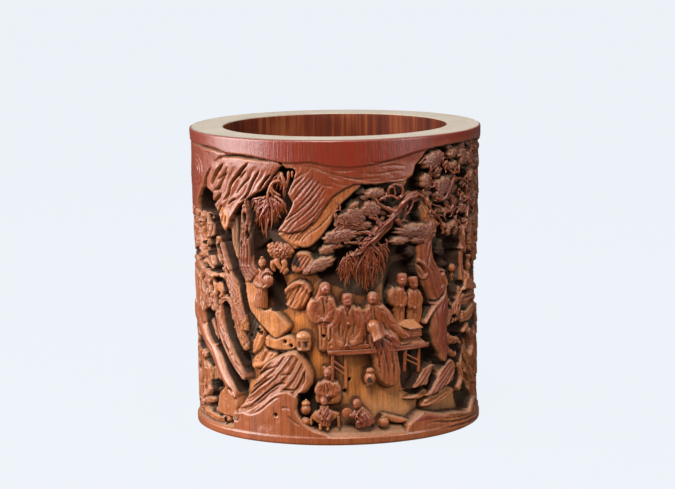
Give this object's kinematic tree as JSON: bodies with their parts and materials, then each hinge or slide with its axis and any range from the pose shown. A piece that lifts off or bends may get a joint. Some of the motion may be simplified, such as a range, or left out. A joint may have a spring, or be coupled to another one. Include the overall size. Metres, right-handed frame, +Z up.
{
  "type": "carved bamboo brush holder pot",
  "caption": "Round bamboo brush pot carved in deep relief with rocks, pines and robed figures, with an inset pegged wooden floor.",
  "frame": {"origin": "centre of the pot's foot, on the surface that it stands on", "axes": "+Z up along the pot's axis, -Y towards the front of the carved scene, +X to the viewer's right"},
  "size_m": [0.144, 0.144, 0.147],
  "materials": {
    "carved_bamboo": "aged red-brown bamboo, hand polished",
    "floor_wood": "dark oiled hardwood, satin",
    "peg_bamboo": "dark bamboo, satin"
  },
  "bodies": {
    "root": {"bamboo_wall": "carved_bamboo", "floor_disc": "floor_wood", "floor_peg_1": "peg_bamboo", "floor_peg_2": "peg_bamboo", "floor_peg_3": "peg_bamboo"}
  },
  "joints": []
}
